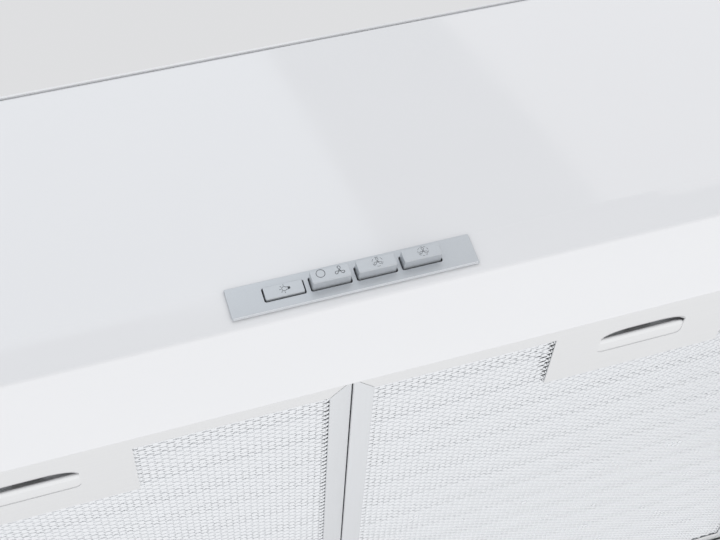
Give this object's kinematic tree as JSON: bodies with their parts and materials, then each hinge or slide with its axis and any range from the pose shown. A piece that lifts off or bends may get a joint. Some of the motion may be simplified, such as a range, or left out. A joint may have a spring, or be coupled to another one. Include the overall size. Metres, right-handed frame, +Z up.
{
  "type": "under cabinet range hood",
  "caption": "White under cabinet range hood with push buttons on its front lip, hinged aluminium grease filters, a fan and a duct collar with non-return flaps.",
  "frame": {"origin": "centre of the top face, which meets the cabinet's underside", "axes": "+X to the right of a person facing the hood, +Y back to the wall, +Z up"},
  "size_m": [0.6, 0.486, 0.1968],
  "materials": {
    "enamel": "gloss white enamel",
    "plated": "zinc plated",
    "aluminium": "satin",
    "mesh_aluminium": "bright expanded mesh",
    "silver_plastic": "silver moulded",
    "spring_steel": "bright",
    "black_plastic": "moulded",
    "grey_plastic": "moulded",
    "white_plastic": "moulded",
    "circuit_board": "laminate",
    "lens": "frosted",
    "cable_sheath": "matt"
  },
  "bodies": {
    "canopy": {"front_panel": "enamel", "back_panel": "enamel", "side_panel_left": "enamel", "side_panel_right": "enamel", "top_panel": "enamel", "filter_centre_bar": "plated", "control_strip": "silver_plastic", "switch_housing": "black_plastic", "switch_board": "circuit_board", "button_spring_light": "spring_steel", "button_spring_off_low": "spring_steel", "button_spring_medium": "spring_steel", "button_spring_high": "spring_steel", "lamp_bezel_left": "white_plastic", "lamp_lens_left": "lens", "lamp_body_left": "grey_plastic", "lamp_bezel_right": "white_plastic", "lamp_lens_right": "lens", "lamp_body_right": "grey_plastic", "blower_casing": "grey_plastic", "blower_base": "grey_plastic", "inlet_guard": "grey_plastic", "motor": "plated", "duct_collar": "black_plastic", "damper_pin": "spring_steel", "junction_box": "white_plastic", "junction_box_lid": "white_plastic", "terminal_block": "grey_plastic", "cable_gland": "black_plastic", "lamp_driver": "white_plastic", "capacitor": "white_plastic", "cable_switch": "cable_sheath", "cable_lamp_left": "cable_sheath", "cable_lamp_right": "cable_sheath", "cable_motor": "cable_sheath"},
    "button_light": {"button_light": "silver_plastic"},
    "button_off_low": {"button_off_low": "silver_plastic"},
    "button_medium": {"button_medium": "silver_plastic"},
    "button_high": {"button_high": "silver_plastic"},
    "fan": {"impeller": "black_plastic", "motor_shaft": "spring_steel", "impeller_nut": "spring_steel"},
    "damper_left": {"damper_flap_left": "grey_plastic"},
    "damper_right": {"damper_flap_right": "grey_plastic"},
    "filter_left": {"filter_frame_left": "aluminium", "filter_mesh_left": "mesh_aluminium", "filter_back_mesh_left": "mesh_aluminium", "filter_layers_left": "mesh_aluminium", "latch_housing_left": "grey_plastic", "latch_spring_left": "spring_steel"},
    "latch_left": {"latch_slide_left": "aluminium"},
    "filter_right": {"filter_frame_right": "aluminium", "filter_mesh_right": "mesh_aluminium", "filter_back_mesh_right": "mesh_aluminium", "filter_layers_right": "mesh_aluminium", "latch_housing_right": "grey_plastic", "latch_spring_right": "spring_steel"},
    "latch_right": {"latch_slide_right": "aluminium"}
  },
  "joints": [
    {"name": "button_light_slide", "type": "slide", "parent": "canopy", "child": "button_light", "axis": [0, 0.9976, 0.0698], "range_m": [-0.004, 0], "deforming": ["button_spring_light"]},
    {"name": "button_off_low_slide", "type": "slide", "parent": "canopy", "child": "button_off_low", "axis": [0, 0.9976, 0.0698], "range_m": [0, 0.004], "stiffness_N_per_m": 150, "springref_m": -0.003, "deforming": ["button_spring_off_low"]},
    {"name": "button_medium_slide", "type": "slide", "parent": "canopy", "child": "button_medium", "axis": [0, 0.9976, 0.0698], "range_m": [0, 0.004], "stiffness_N_per_m": 150, "springref_m": -0.003, "deforming": ["button_spring_medium"]},
    {"name": "button_high_slide", "type": "slide", "parent": "canopy", "child": "button_high", "axis": [0, 0.9976, 0.0698], "range_m": [0, 0.004], "stiffness_N_per_m": 150, "springref_m": -0.003, "deforming": ["button_spring_high"]},
    {"name": "filter_left_hinge", "type": "hinge", "parent": "canopy", "child": "filter_left", "pos_m": [-0.14385, 0.16971, -0.1474], "axis": [1, 0, 0], "range_deg": [0, 70]},
    {"name": "latch_left_slide", "type": "slide", "parent": "filter_left", "child": "latch_left", "axis": [0, 1, 0], "range_m": [0, 0.0045], "stiffness_N_per_m": 200, "springref_m": -0.003, "deforming": ["latch_spring_left"]},
    {"name": "filter_right_hinge", "type": "hinge", "parent": "canopy", "child": "filter_right", "pos_m": [0.14385, 0.16971, -0.1474], "axis": [1, 0, 0], "range_deg": [0, 70]},
    {"name": "latch_right_slide", "type": "slide", "parent": "filter_right", "child": "latch_right", "axis": [0, 1, 0], "range_m": [0, 0.0045], "stiffness_N_per_m": 200, "springref_m": -0.003, "deforming": ["latch_spring_right"]},
    {"name": "fan_spin", "type": "hinge", "parent": "canopy", "child": "fan", "pos_m": [-0.12, -0.02, -0.04], "axis": [0, 0, 1], "continuous": true},
    {"name": "damper_left_hinge", "type": "hinge", "parent": "canopy", "child": "damper_left", "pos_m": [0, 0.14, 0.008], "axis": [0, 1, 0], "range_deg": [0, 80]},
    {"name": "damper_right_hinge", "type": "hinge", "parent": "canopy", "child": "damper_right", "pos_m": [0, 0.14, 0.008], "axis": [0, -1, 0], "range_deg": [0, 80]}
  ]
}
